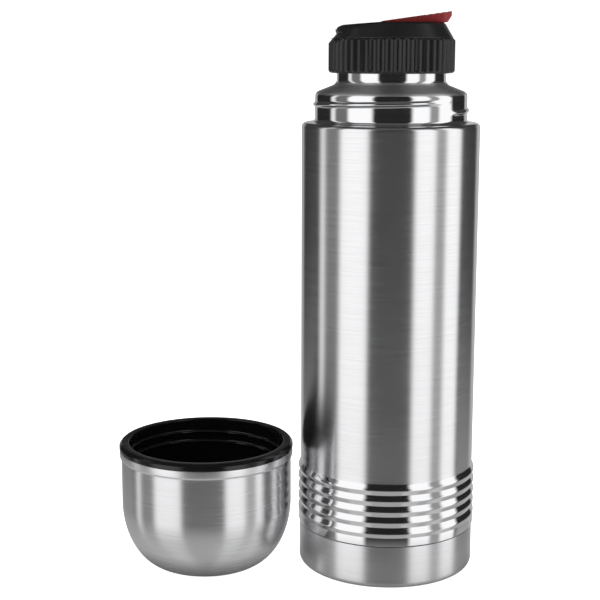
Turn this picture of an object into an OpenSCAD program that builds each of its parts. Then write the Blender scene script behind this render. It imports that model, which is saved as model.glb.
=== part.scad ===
// Vacuum flask: a double-walled steel bottle, a screw-in pouring stopper whose valve is worked by a
// tilting lever, and the drinking cup that stands beside it.
// Millimetres, +Z up. The origin is the centre of the flask's base and the lever's tip points along +X.

/* [Body] */
// Outer radius of the plain body
body_r = 41; // [34:0.5:50]
// Height of the shoulder's edge above the base
body_h = 210.4; // [170:0.5:255]
// Sheet thickness of the outer shell
shell_t = 0.6; // [0.4:0.05:0.8]
// Rounding of the body's top edge
shoulder_round = 1.6; // [1:0.1:2.4]
// How far the collar is set in from the body
collar_in = 6.1; // [5:0.1:7.4]
// Height of the collar's straight wall above the shoulder
collar_h = 12.2; // [10.5:0.1:15]
// Height of the cone between collar and neck
cone_h = 5.5; // [4.5:0.1:7]
// Outer radius of the neck
neck_r = 25; // [20.5:0.1:30]
// Height of the mouth above the foot of the neck
neck_h = 7.9; // [7:0.1:10]

/* [Beads] */
// Number of rolled beads
bead_n = 5; // [1:1:7]
// Spacing of the beads
bead_pitch = 5.1; // [4:0.1:6.2]
// Height of the lowest bead's crest above the base cap
bead_lift = 6.6; // [5.5:0.1:9]
// How far the bead crests stand out from the body
bead_out = 1.15; // [0.9:0.05:1.5]
// Depth of the grooves between beads
bead_depth = 0.8; // [0.4:0.05:1]
// How far the plain band under the beads stands out from the body
band_out = 0.9; // [0.6:0.05:1.2]

/* [Base] */
// Height of the base cap
cap_h = 20.2; // [16:0.1:25]
// Sheet thickness of the base cap
cap_t = 0.5; // [0.4:0.05:0.7]
// How far the base cap stands out from the body
cap_out = 0.45; // [0.3:0.05:0.7]
// Rounding of the base cap's lower edge
cap_round = 3; // [2:0.1:4]
// Width of the groove between base cap and shell
parting_gap = 0.4; // [0.2:0.05:0.6]
// Distance of the pressed ring groove under the base from its edge
foot_groove_in = 11.5; // [8:0.5:18]
// Height of the vacuum plate's floor above the base
plate_z = 8; // [6:0.1:9]
// Sheet thickness of the vacuum plate
plate_t = 0.6; // [0.4:0.05:0.8]
// Radius of the pumping hole
pump_hole_r = 1; // [0.6:0.1:1.5]

/* [Inner vessel] */
// Width of the vacuum gap at the body
vacuum_gap = 3.5; // [2.8:0.1:4.2]
// Width of the vacuum gap at the neck
neck_gap = 0.8; // [0.4:0.05:1]
// Sheet thickness of the inner vessel
vessel_t = 0.5; // [0.4:0.05:0.6]
// Thickness of the foil round the vessel
foil_t = 0.15; // [0.1:0.01:0.3]
// Rounding of the vessel's bottom edge
vessel_round = 9; // [6:0.5:12]

/* [Mouth thread] */
// Rise of the stopper's thread in one turn
stopper_pitch = 6; // [5.2:0.1:7.2]
// Width of a thread ridge at its root
stopper_ridge_w = 2.3; // [1.9:0.05:2.6]
// Height of the vessel's ridge
vessel_ridge_h = 1.4; // [1.1:0.05:1.6]
// Height of the stopper's ridge
stopper_ridge_h = 1.8; // [1.5:0.05:2]
// Gap between the stopper's ridge and the neck's wall
stopper_ridge_gap = 0.5; // [0.35:0.05:0.7]

/* [Collar thread] */
// Rise of the cup's thread in one turn
collar_pitch = 4.9; // [4.2:0.1:5.8]
// How far the bead on the collar stands out
collar_bead_h = 0.95; // [0.7:0.05:1.1]
// Width of the bead on the collar
collar_bead_w = 3; // [2.5:0.1:3.2]
// Height of the bead's start above the shoulder
collar_bead_z = 5.2; // [4:0.1:5.6]

/* [Stopper] */
// Depth of the plug below the mouth
plug_depth = 33; // [30:0.5:40]
// Wall thickness of the plug
plug_t = 2.5; // [1.8:0.1:3]
// Thickness of the plug's floor
floor_t = 2.2; // [1.8:0.1:2.6]
// Thickness of the gasket on the mouth
gasket_t = 1.5; // [1.2:0.1:1.8]
// Thickness of the stopper's flange
flange_t = 2.5; // [2:0.1:3]
// How far the grip ring's ribs stand out from the neck
ring_out = 4; // [3.6:0.1:6]
// How far the grip ring hangs below the mouth
ring_drop = 3.7; // [2.5:0.1:4.5]
// Height of the grip ring
ring_h = 16.1; // [14.5:0.1:19]
// Number of ribs on the grip ring
rib_n = 45; // [30:1:48]
// Depth of the grooves between the ribs
rib_depth = 0.9; // [0.5:0.05:1.1]

/* [Deck] */
// How far the deck's top edge is set in from the grip ring's ribs
deck_in = 4.7; // [4:0.1:5.6]
// Height of the deck above the grip ring
deck_h = 7; // [6.4:0.1:8]
// How far the pouring lip stands out from the deck's top edge
lip_out = 1.7; // [1.2:0.1:2.1]
// Half angle over which the pouring lip runs, in degrees
lip_half_angle = 48; // [35:1:60]
// Width of the pouring channel
channel_w = 12; // [9:0.5:14]

/* [Lever] */
// How far the lever's tip stands out over the deck's top edge
lever_over = 3.1; // [1.5:0.1:6]
// Distance of the lever's rear end from the stopper's axis
lever_rear = 4.8; // [3.5:0.1:5]
// Width of the lever
lever_w = 20; // [17:0.5:21]
// Slope of the lever's top, in degrees
lever_slope = 8; // [6:0.5:10]
// Thickness of the lever's rear edge
lever_edge_t = 0.5; // [0.3:0.05:0.8]
// Number of grip notches
notch_n = 4; // [2:1:5]
// Spacing of the grip notches
notch_pitch = 3; // [2.4:0.1:3.2]
// Radius of the lever's pin
pin_r = 1.25; // [1:0.05:1.5]
// Travel of the valve over the lever's whole tilt
valve_travel = 3.67; // [3:0.01:4]
// Whole tilt of the lever, in degrees
lever_tilt = 45; // [40:1:50]

/* [Valve] */
// Radius of the valve stem
stem_r = 2; // [1.6:0.1:2.4]
// Radius of the hole in the plug's floor
port_r = 9.5; // [8:0.1:11]
// Width of the sealing ring on the valve disc
seal_w = 2.2; // [1.8:0.1:2.6]
// Thickness of the valve disc
disc_t = 2; // [1.6:0.1:2.4]
// Height of the cage's guide tube
guide_h = 15.8; // [13:0.1:19]
// Number of spokes in the cage
spoke_n = 3; // [3:1:5]
// Mean radius of the spring's coil
coil_r = 5.2; // [4.8:0.1:6]
// Wire diameter of the spring
wire_d = 0.9; // [0.7:0.05:1]
// Turns of the spring
coil_turns = 7; // [5:1:9]

/* [Cup] */
// How far the cup's steel wall is set in from the flask's body
cup_in = 0.6; // [0:0.1:1]
// Room over the lever's tip when the cup is screwed on
cup_headroom = 5.5; // [1:0.1:15]
// Radius of the flat foot
cup_foot_r = 19.8; // [14:0.1:21]
// Height of the rounded lower part
cup_dome_h = 31.4; // [26:0.1:36]
// Sheet thickness of the cup's steel skin
cup_t = 0.5; // [0.4:0.05:0.6]
// How far the rolled band stands out
cup_band_out = 0.8; // [0.5:0.05:1]
// Height of the rolled band
cup_band_h = 3.9; // [3:0.1:4.5]
// Height of the black rim
cup_rim_h = 3.05; // [2.6:0.05:3.6]
// Wall thickness of the liner
liner_t = 1.6; // [1.3:0.1:1.9]
// Gap between the cup and the flask's body
cup_gap = 4; // [1:0.1:40]
// Bearing of the cup behind the line through the lever, in degrees
cup_bearing = 2.7; // [-30:0.1:30]

/* [Fits] */
// Running clearance of the lever's pin and the stem, on the radius
run_fit = 0.05; // [0.03:0.01:0.1]
// Clearance between parts that slide over each other
slip_fit = 0.1; // [0.05:0.01:0.2]
// Clearance of the cup's bore over the bead on the collar
cup_fit = 0.85; // [0.5:0.05:1.2]

/* [Hidden] */
$fn = 96;

// Base and shell
cap_r = body_r + cap_out;
skirt_r = cap_r - cap_t;
skirt_foot_z = 4;
band_z = cap_h + parting_gap;
bead_z = cap_h + bead_lift;
bead_top_z = bead_z + (bead_n - 0.5) * bead_pitch;
foot_groove_r = cap_r - foot_groove_in;
foot_groove_w = 4;
foot_groove_h = 0.8;
foot_groove_round = 0.7;
joggle_h = 0.2;
seal_bead_r = 2.6;
seal_bead_t = 0.8;
getter_r = 6;
getter_t = 1.4;

// Shoulder, collar and neck
collar_r = body_r - collar_in;
shoulder_rise = 0.5;
shoulder_z = body_h + shoulder_rise / 2;
collar_foot_round = 1.9;
collar_top_round = 2;
neck_foot_round = 2.5;
collar_bead_turns = 1.02;
collar_bead_start = -50;
collar_top_z = body_h + collar_h;
neck_z = collar_top_z + cone_h;
lip_z = neck_z + neck_h;

// Inner vessel
vessel_r = body_r - shell_t - vacuum_gap + vessel_t;
vessel_neck_r = neck_r - shell_t - neck_gap;
vessel_bore_r = vessel_neck_r - vessel_t;
vessel_lift = 3.4;
vessel_z = plate_z + plate_t + vessel_lift;
vessel_shoulder_drop = 16;
vessel_shoulder_z = body_h - vessel_shoulder_drop;
vessel_shoulder_round = 10;
vessel_neck_rise = 1.5;
vessel_neck_z = body_h + vessel_neck_rise;
vessel_neck_round = 6;
foil_foot_z = vessel_z + vessel_round + 1;
foil_top_z = vessel_shoulder_z - 6;

// Plug and mouth thread
ridge_r = vessel_bore_r - stopper_ridge_gap;
plug_r = ridge_r - stopper_ridge_h;
plug_bore_r = plug_r - plug_t;
plug_z = lip_z - plug_depth;
plug_chamfer = 1.5;
vessel_ridge_drop = 16.5;
vessel_ridge_z = lip_z - vessel_ridge_drop;
vessel_ridge_turns = 1.5;
stopper_ridge_z = vessel_ridge_z - stopper_pitch / 2;
stopper_ridge_turns = 1.75;
flange_z = lip_z + gasket_t;
flange_top_z = flange_z + flange_t;

// Grip ring and deck
ring_r = neck_r + ring_out;
deck_r = ring_r - deck_in;
lip_r = deck_r + lip_out;
ring_z = lip_z - ring_drop;
ring_top_z = ring_z + ring_h;
ring_bore_r = neck_r + 6 * slip_fit;
flange_r = ring_bore_r - slip_fit;
ledge_t = 3;
ledge_z = flange_top_z + ledge_t;
tube_t = 3.7;
tube_r = plug_bore_r + tube_t;
socket_r = neck_r;
ring_foot_round = 1.2;
ring_chamfer = 1.1;
rib_groove_r = 1.25;
deck_top_z = ring_top_z + deck_h;
deck_foot_r = ring_r - ring_chamfer;
deck_floor_rise = 2.2;
deck_floor_z = ledge_z + deck_floor_rise;
deck_floor_t = 1.8;
deck_edge_h = 0.7;
deck_edge_in = 1.4;
deck_flank = (deck_foot_r - deck_r) / (deck_h - deck_edge_h);
// Rise of the deck's top behind the pocket, and its fall at the deck's edge and beyond
deck_rise = 0.3;
deck_fall = 0.9;
deck_far_fall = 3;
// Heights on the pouring lip above the grip ring, and how far each is drawn in from the lip's edge
lip_under = 2.6;
lip_edge = 3.5;
lip_over = 4.4;
lip_top = 5.3;
lip_under_in = 0.7;
lip_over_in = 0.4;
lip_top_in = 1.6;
lip_root = 6;
trough_lift = 4;

// Lever, cam and pin. The cam's centre swings evenly about the height of the pin.
lever_rest_gap = 0.15;
lever_z = deck_top_z + lever_rest_gap;
lever_reach = deck_r + lever_over;
// The tip's bevels: under it, above it, and how far its face leans out
tip_bevel = 1.6;
tip_edge_h = 0.5;
tip_edge_in = 0.6;
tip_lean = 0.3;
tip_corner_r = 5;
lever_tip_z = lever_z + lever_edge_t + (lever_reach - tip_edge_in + lever_rear) * tan(lever_slope);
last_notch_in = 2.1;
notch_r = 0.6;
cam_reach = valve_travel / (2 * sin(lever_tilt / 2));
cam_r = 2;
cam_w = 7;
cam_stem_gap = 0.35;
cam_rise = lever_tilt / 2 - 2.5;
pin_drop = 3.1;
pin_x = cam_reach * cos(cam_rise);
pin_z = deck_top_z - pin_drop;
pin_l = lever_w + 6;
cam_z = pin_z + cam_reach * sin(cam_rise);
hub_r = pin_r + 1.35;
ear_w = 4;
ear_play = 0.2;
pocket_play = 0.45;
pocket_rear = norm([lever_rear + pin_x, lever_z + lever_edge_t - pin_z]) - pin_x + pocket_play;
pocket_front = pin_x + hub_r + 2.5;
pocket_w = lever_w + 0.8;
pocket_wall = 2.1;

// Valve
stem_top_z = cam_z - cam_r - cam_stem_gap;
seal_in_r = port_r + 0.4;
seal_sink = 0.4;
seal_t = 1.6 + seal_sink;
stem_seal_w = 1.6;
stem_seal_t = 1;
disc_r = seal_in_r + seal_w + 0.5;
disc_top_z = plug_z - seal_t + seal_sink;
disc_z = disc_top_z - disc_t;
disc_web_t = 0.6;
boss_r = stem_r + 2;
boss_h = 1.4;
cage_r = plug_bore_r - run_fit;
cage_rim_w = 2.5;
cage_rim_h = 2.5;
cage_z = plug_z + floor_t;
spoke_w = 3;
guide_r = stem_r + 2.6;
spring_seat_z = cage_z + guide_h;
spring_seat_t = 1;
spring_seat_r = coil_r + wire_d / 2 + 0.4;
collar_seat_z = deck_floor_z - 3.4;
spring_collar_t = 1.8;

// Cup
liner_z = 3;
cup_r = body_r - cup_in;
cup_h = lever_tip_z - body_h + liner_z + liner_t + cup_headroom;
cup_bore_r = collar_r + collar_bead_h + cup_fit;
cup_band_r = cup_r + cup_band_out;
cup_rim_z = cup_h - cup_rim_h;
cup_band_z = cup_rim_z - cup_band_h;
cup_rim_bevel = 1.8;
cup_rim_edge_h = 1;
cup_rim_lap = 0.1;
band_roll_h = 0.6;
band_roll_round = 0.7;
liner_r = cup_bore_r + liner_t;
liner_lead = 0.6;
liner_lap = 3;
cup_ridge_h = 1.25;
cup_ridge_w = 2;
cup_ridge_turns = 1.6;
cup_ridge_drop = 5;
cup_distance = body_r + cup_band_r + cup_gap;
cup_at = [-cup_distance * cos(cup_bearing), -cup_distance * sin(cup_bearing), 0];

steel = [0.76, 0.76, 0.78];
black = [0.09, 0.09, 0.1];

// How far a cutter runs past what it cuts, and how far joined shapes run into each other
clear = 1;
weld = 0.3;

// ---- outlines ----

function unit(v) = v / norm(v);

// The corner b of a-b-c, rounded to radius r in n chords
function corner(a, b, c, r, n = 6) =
    r == 0 ? [b] :
    let (u = unit(a - b), v = unit(c - b), half = acos(u * v) / 2,
         m = b + unit(u + v) * r / sin(half),
         p = b + u * r / tan(half) - m, q = b + v * r / tan(half) - m,
         way = sign(cross(p, q)) * (180 - 2 * half))
    [for (i = [0:n]) let (t = way * i / n)
        m + [p.x * cos(t) - p.y * sin(t), p.x * sin(t) + p.y * cos(t)]];

function flat(k) = [k.x, k.y];

// A path through corners [r, z, rounding]
function rounded(k) = [for (i = [0:len(k) - 1])
    each (i == 0 || i == len(k) - 1 ? [flat(k[i])]
          : corner(flat(k[i - 1]), flat(k[i]), flat(k[i + 1]), k[i][2]))];

function side(a, b) = let (d = unit(b - a)) [-d.y, d.x];

// A path moved to its left by t
function beside(p, t) = [for (i = [0:len(p) - 1])
    let (a = side(p[max(i - 1, 0)], p[max(i, 1)]),
         b = side(p[min(i, len(p) - 2)], p[min(i + 1, len(p) - 1)]), m = unit(a + b))
    p[i] + m * t / (m * a)];

function reversed(p) = [for (i = [len(p) - 1:-1:0]) p[i]];

// Sheet metal of thickness t, turned along a path on its outer face
module sheet(path, t) {
    rotate_extrude() polygon(concat(path, reversed(beside(path, t))));
}

// A plain ring between two radii
module ring(r_out, r_in, z, h) {
    translate([0, 0, z]) difference() {
        cylinder(r = r_out, h = h);
        translate([0, 0, -clear]) cylinder(r = r_in, h = h + 2 * clear);
    }
}

// ---- helical pieces ----

// A closed solid swept through equal rings of points
module swept(rings) {
    n = len(rings[0]);
    last = len(rings) - 1;
    points = [for (ring = rings) each ring];
    walls = [for (i = [0:last - 1], j = [0:n - 1])
        let (k = (j + 1) % n) [i * n + j, i * n + k, (i + 1) * n + k, (i + 1) * n + j]];
    polyhedron(points, concat([[for (j = [n - 1:-1:0]) j]], walls, [[for (j = [0:n - 1]) last * n + j]]));
}

// A thread ridge that climbs to the right, from its root radius to its crest radius
module ridge(root_r, crest_r, w, pitch, turns, z, start = 0) {
    step = 10;
    fade = 25;
    least = 0.12;
    crest_share = 0.22;
    last = turns * 360;
    function height(t) = max(least, min(1, t / fade, (last - t) / fade));
    function at(t, r, dz) = [r * cos(start + t), r * sin(start + t), z + pitch * t / 360 + dz];
    function section(t) = let (h = height(t), top = root_r + (crest_r - root_r) * h, e = w * crest_share)
        [at(t, root_r, -w / 2), at(t, top, -e), at(t, top, e), at(t, root_r, w / 2)];
    rings = [for (t = [0:step:last]) section(t)];
    swept(crest_r > root_r ? rings : [for (s = rings) reversed(s)]);
}

// ---- flask ----

function bead_curve(z) = body_r + bead_out - bead_depth * (1 - cos(360 * (z - bead_z) / bead_pitch)) / 2;

// Half a wave from one radius and height to another
function wave(r0, z0, r1, z1, n = 4) = [for (i = [1:n - 1])
    [r0 + (r1 - r0) * (1 - cos(180 * i / n)) / 2, z0 + (z1 - z0) * i / n]];

shell_path = concat(
    [[skirt_r, skirt_foot_z], [skirt_r, band_z - joggle_h], [body_r + band_out, band_z],
     [body_r + band_out, bead_z - bead_pitch / 2]],
    wave(body_r + band_out, bead_z - bead_pitch / 2, body_r + bead_out, bead_z),
    [for (z = [bead_z:bead_pitch / 8:bead_top_z - bead_pitch / 2 + 0.01]) [bead_curve(z), z]],
    wave(body_r + bead_out, bead_top_z - bead_pitch / 2, body_r, bead_top_z),
    rounded([[body_r, bead_top_z], [body_r, shoulder_z, shoulder_round],
             [collar_r, body_h + shoulder_rise, collar_foot_round],
             [collar_r, collar_top_z, collar_top_round],
             [neck_r, neck_z, neck_foot_round], [neck_r, lip_z - vessel_t]]));

module outer_shell() {
    color(steel) union() {
        sheet(shell_path, shell_t);
        ridge(collar_r - shell_t / 2, collar_r + collar_bead_h, collar_bead_w, collar_pitch,
              collar_bead_turns, body_h + collar_bead_z, collar_bead_start);
    }
}

vessel_path = rounded([[0, vessel_z], [vessel_r, vessel_z, vessel_round],
    [vessel_r, vessel_shoulder_z, vessel_shoulder_round],
    [vessel_neck_r, vessel_neck_z, vessel_neck_round],
    [vessel_neck_r, lip_z - vessel_t, 0], [neck_r, lip_z - vessel_t]]);

module inner_vessel() {
    color(steel) union() {
        sheet(vessel_path, vessel_t);
        ridge(vessel_bore_r + vessel_t / 2, vessel_bore_r - vessel_ridge_h, stopper_ridge_w,
              stopper_pitch, vessel_ridge_turns, vessel_ridge_z);
    }
}

module radiation_shield() {
    color("peru") ring(vessel_r + foil_t, vessel_r, foil_foot_z, foil_top_z - foil_foot_z);
}

module vacuum_plate() {
    path = rounded([[skirt_r - shell_t - plate_t, skirt_foot_z],
        [skirt_r - shell_t - plate_t, plate_z, 1], [0, plate_z]]);
    color(steel) difference() {
        sheet(path, -plate_t);
        translate([0, 0, plate_z - clear]) cylinder(r = pump_hole_r, h = plate_t + 2 * clear);
    }
}

module getter() {
    color("gray") translate([skirt_r / 2, 0, plate_z + plate_t]) cylinder(r = getter_r, h = getter_t);
}

module exhaust_seal() {
    color("dimgray") translate([0, 0, plate_z - seal_bead_t]) cylinder(r = seal_bead_r, h = seal_bead_t);
}

module base_cap() {
    inner = foot_groove_r - foot_groove_w / 2;
    outer = foot_groove_r + foot_groove_w / 2;
    turn = foot_groove_round;
    path = rounded([[0, 0], [inner, 0, turn], [inner + foot_groove_h, foot_groove_h, turn],
        [outer - foot_groove_h, foot_groove_h, turn], [outer, 0, turn],
        [cap_r, 0, cap_round], [cap_r, cap_h]]);
    color(steel) sheet(path, cap_t);
}

// ---- stopper ----

module stopper_body() {
    color(black) union() {
        difference() {
            rotate_extrude() polygon([[0, plug_z], [plug_r - plug_chamfer, plug_z],
                [plug_r, plug_z + plug_chamfer],
                [plug_r, flange_z], [flange_r, flange_z], [flange_r, flange_top_z],
                [tube_r, flange_top_z], [tube_r, deck_floor_z], [0, deck_floor_z]]);
            translate([0, 0, cage_z]) cylinder(r = plug_bore_r, h = deck_floor_z);
            translate([0, 0, plug_z - clear]) cylinder(r = port_r, h = floor_t + 2 * clear);
        }
        ridge(plug_r - weld, ridge_r, stopper_ridge_w, stopper_pitch, stopper_ridge_turns,
              stopper_ridge_z);
    }
}

module neck_gasket() {
    color("gainsboro") ring(neck_r - slip_fit, plug_r + 4 * slip_fit, lip_z, gasket_t);
}

module grip_ring() {
    turned = rounded([[ring_bore_r, ring_z], [ring_r, ring_z, ring_foot_round],
        [ring_r, ring_top_z - ring_chamfer, 0], [deck_foot_r, ring_top_z, 0], [socket_r, ring_top_z, 0],
        [socket_r, ledge_z, 0], [tube_r + slip_fit, ledge_z, 0], [tube_r + slip_fit, flange_top_z, 0],
        [ring_bore_r, flange_top_z, 0], [ring_bore_r, ring_z + 1]]);
    color(black) difference() {
        rotate_extrude() polygon(turned);
        for (i = [0:rib_n - 1]) rotate([0, 0, (i + 0.5) * 360 / rib_n])
            translate([ring_r + rib_groove_r - rib_depth, 0, ring_z - clear])
                cylinder(r = rib_groove_r, h = ring_h + 2 * clear, $fn = 32);
    }
}

// The sector of the deck's rim that holds the pouring lip
module lip_sector(points) {
    rotate([0, 0, 180 - lip_half_angle]) rotate_extrude(angle = 2 * lip_half_angle) polygon(points);
}

module spout_deck() {
    low = ring_top_z;
    bottom_r = deck_foot_r - deck_flank * (lip_r - deck_r);
    color(black) difference() {
        union() {
            intersection() {
                rotate_extrude() polygon([[0, deck_floor_z], [tube_r + slip_fit, deck_floor_z],
                    [tube_r + slip_fit, ledge_z], [socket_r - slip_fit, ledge_z],
                    [socket_r - slip_fit, low], [deck_foot_r, low],
                    [deck_r, deck_top_z - deck_edge_h], [deck_r - deck_edge_in, deck_top_z + deck_rise],
                    [0, deck_top_z + deck_rise]]);
                rotate([90, 0, 0]) linear_extrude(4 * ring_r, center = true) polygon([
                    [-2 * ring_r, 0], [2 * ring_r, 0], [2 * ring_r, deck_top_z], [-pocket_rear, deck_top_z],
                    [-pocket_rear, deck_top_z + deck_rise], [-deck_r, deck_top_z - deck_fall],
                    [-2 * ring_r, deck_top_z - deck_far_fall]]);
            }
            lip_sector([[deck_r - lip_root, low + lip_under], [lip_r - lip_under_in, low + lip_under],
                [lip_r, low + lip_edge], [lip_r - lip_over_in, low + lip_over],
                [lip_r - lip_top_in, low + lip_top], [deck_r - lip_root, low + lip_top]]);
        }
        // hollow under the lip
        lip_sector([[bottom_r - 0.4, low + 0.2], [2 * ring_r, low + 0.2], [2 * ring_r, low + lip_under],
            [lip_r - lip_under_in, low + lip_under]]);
        // pouring channel and its trough
        translate([-plug_bore_r, -channel_w / 2, 0])
            cube([plug_bore_r - pocket_rear - pocket_wall, channel_w, 2 * lip_z]);
        translate([-2 * ring_r, -channel_w / 2, low + trough_lift])
            cube([2 * ring_r - pocket_rear - pocket_wall, channel_w, deck_h]);
        // pocket in which the lever's rear end and cam swing
        translate([-pocket_rear, -pocket_w / 2, deck_floor_z + deck_floor_t])
            cube([pocket_rear + pocket_front, pocket_w, deck_h + ring_h]);
        translate([pin_x, 0, pin_z]) rotate([90, 0, 0]) cylinder(r = pin_r, h = pin_l, center = true);
        translate([0, 0, deck_floor_z - clear]) {
            cylinder(r = stem_r + 2 * run_fit, h = deck_floor_t + 2 * clear);
            cylinder(r = stem_r + stem_seal_w, h = clear + stem_seal_t);
        }
    }
}

module stem_seal() {
    color("gainsboro") ring(stem_r + stem_seal_w, stem_r + run_fit, deck_floor_z, stem_seal_t);
}

module lever_pin() {
    color("silver") translate([pin_x, 0, pin_z]) rotate([90, 0, 0])
        cylinder(r = pin_r, h = pin_l, center = true);
}

module pour_lever() {
    rise = tan(lever_slope);
    rear_top = lever_z + lever_edge_t;
    first_notch = lever_reach - last_notch_in - (notch_n - 1) * notch_pitch;
    leaf_z = lever_z + weld;
    ear_y = lever_w / 2 - ear_play - ear_w / 2;
    color("firebrick") difference() {
        union() {
            intersection() {
                rotate([90, 0, 0]) linear_extrude(lever_w, center = true) polygon([
                    [-lever_rear, lever_z], [lever_reach - tip_bevel, lever_z],
                    [lever_reach, lever_z + tip_bevel], [lever_reach + tip_lean, lever_tip_z - tip_edge_h],
                    [lever_reach - tip_edge_in, lever_tip_z], [-lever_rear, rear_top]]);
                linear_extrude(2 * lever_tip_z) hull() {
                    translate([-lever_rear, -lever_w / 2]) square([lever_w, lever_w]);
                    for (y = [-1, 1])
                        translate([lever_reach + tip_lean - tip_corner_r, y * (lever_w / 2 - tip_corner_r)])
                            circle(r = tip_corner_r, $fn = 48);
                }
            }
            // ears on the pin
            for (y = [-ear_y, ear_y]) translate([pin_x, y, pin_z]) rotate([90, 0, 0]) {
                cylinder(r = hub_r, h = ear_w, center = true);
                translate([-hub_r, 0, -ear_w / 2]) cube([2 * hub_r, leaf_z - pin_z, ear_w]);
            }
            // cam over the stem
            rotate([90, 0, 0]) {
                translate([0, cam_z]) cylinder(r = cam_r, h = cam_w, center = true);
                linear_extrude(cam_w, center = true)
                    polygon([[0, cam_z - cam_r / 2], [0, leaf_z], [pin_x, leaf_z], [pin_x, pin_z]]);
            }
        }
        translate([pin_x, 0, pin_z]) rotate([90, 0, 0])
            cylinder(r = pin_r + run_fit, h = 2 * lever_w, center = true);
        for (i = [0:notch_n - 1]) let (x = first_notch + i * notch_pitch)
            translate([x, 0, rear_top + (x + lever_rear) * rise])
                rotate([90, 0, 0]) cylinder(r = notch_r, h = 2 * lever_w, center = true, $fn = 24);
    }
}

// ---- valve ----

module valve_cage() {
    color("whitesmoke") difference() {
        union() {
            ring(cage_r, cage_r - cage_rim_w, cage_z, cage_rim_h);
            for (i = [0:spoke_n - 1]) rotate([0, 0, i * 360 / spoke_n])
                translate([guide_r - clear, -spoke_w / 2, cage_z])
                    cube([cage_r - cage_rim_w / 2 - guide_r + clear, spoke_w, cage_rim_h]);
            translate([0, 0, cage_z]) cylinder(r = guide_r, h = guide_h);
            translate([0, 0, spring_seat_z - spring_seat_t]) cylinder(r = spring_seat_r, h = spring_seat_t);
        }
        translate([0, 0, cage_z - clear]) cylinder(r = stem_r + run_fit, h = guide_h + 2 * clear);
    }
}

module valve_stem() {
    foot = disc_z + disc_web_t;
    color("silver") translate([0, 0, foot]) cylinder(r = stem_r, h = stem_top_z - foot);
}

module valve_disc() {
    color(black) difference() {
        translate([0, 0, disc_z]) {
            cylinder(r = disc_r, h = disc_t);
            cylinder(r = boss_r, h = plug_z + boss_h - disc_z);
        }
        ring(seal_in_r + seal_w, seal_in_r, disc_top_z - seal_sink, seal_sink + clear);
        translate([0, 0, disc_z + disc_web_t]) cylinder(r = stem_r, h = plug_depth);
    }
}

module valve_seal() {
    color("gainsboro") ring(seal_in_r + seal_w, seal_in_r, disc_top_z - seal_sink, seal_t);
}

module valve_spring() {
    sides = 8;
    step = 18;
    low = spring_seat_z + wire_d / 2;
    high = collar_seat_z - wire_d / 2;
    last = coil_turns * 360;
    rings = [for (t = [0:step:last])
        [for (k = [0:sides - 1]) let (u = -k * 360 / sides, r = coil_r + wire_d / 2 * cos(u))
            [r * cos(t), r * sin(t), low + (high - low) * t / last + wire_d / 2 * sin(u)]]];
    color("silver") swept([for (s = rings) reversed(s)]);
}

module spring_collar() {
    color("whitesmoke") ring(spring_seat_r, stem_r, collar_seat_z, spring_collar_t);
}

// ---- cup ----

// The cup's rounded lower part, from its foot to its straight wall, drawn in by a margin
function dome(margin, z, n = 12) = [for (i = [0:n])
    let (a = 90 - 90 * i / n, foot = cup_foot_r - margin / 2)
    [foot + (cup_r - margin - foot) * cos(a), z + (cup_dome_h - z) * (1 - sin(a))]];

// The top of the cup's steel wall, with the rolled band under the rim
cup_band_path = rounded([[cup_r, cup_band_z - band_roll_h], [cup_r, cup_band_z, 0],
    [cup_band_r, cup_band_z + band_roll_h, band_roll_round], [cup_band_r, cup_rim_z]]);

module cup_shell() {
    color(steel) translate(cup_at) sheet(concat([[0, 0]], dome(0, 0), cup_band_path), cup_t);
}

module cup_liner() {
    rim_r = cup_band_r + cup_rim_lap;
    outside = concat([[0, liner_z]], dome(cup_r - liner_r, liner_z), [[liner_r, cup_band_z - liner_lap]],
        beside(cup_band_path, cup_t),
        [[rim_r, cup_rim_z], [rim_r, cup_rim_z + cup_rim_edge_h], [cup_band_r - cup_rim_bevel, cup_h]]);
    inside = concat([[cup_bore_r + liner_lead, cup_h], [cup_bore_r, cup_h - liner_lead]],
        reversed(dome(cup_r - cup_bore_r, liner_z + liner_t)), [[0, liner_z + liner_t]]);
    color(black) translate(cup_at) union() {
        rotate_extrude() polygon(concat(outside, inside));
        ridge(cup_bore_r + liner_t / 2, cup_bore_r - cup_ridge_h, cup_ridge_w, collar_pitch,
              cup_ridge_turns, cup_h - cup_ridge_drop - cup_ridge_turns * collar_pitch);
    }
}

outer_shell();
inner_vessel();
radiation_shield();
vacuum_plate();
getter();
exhaust_seal();
base_cap();
stopper_body();
neck_gasket();
grip_ring();
spout_deck();
lever_pin();
pour_lever();
valve_cage();
stem_seal();
valve_stem();
valve_disc();
valve_seal();
valve_spring();
spring_collar();
cup_shell();
cup_liner();
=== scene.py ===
"""Looks of the vacuum flask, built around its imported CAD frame. Outlines are in millimetres."""

import math

import bmesh
import bpy
from mathutils import Matrix, Vector


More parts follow.
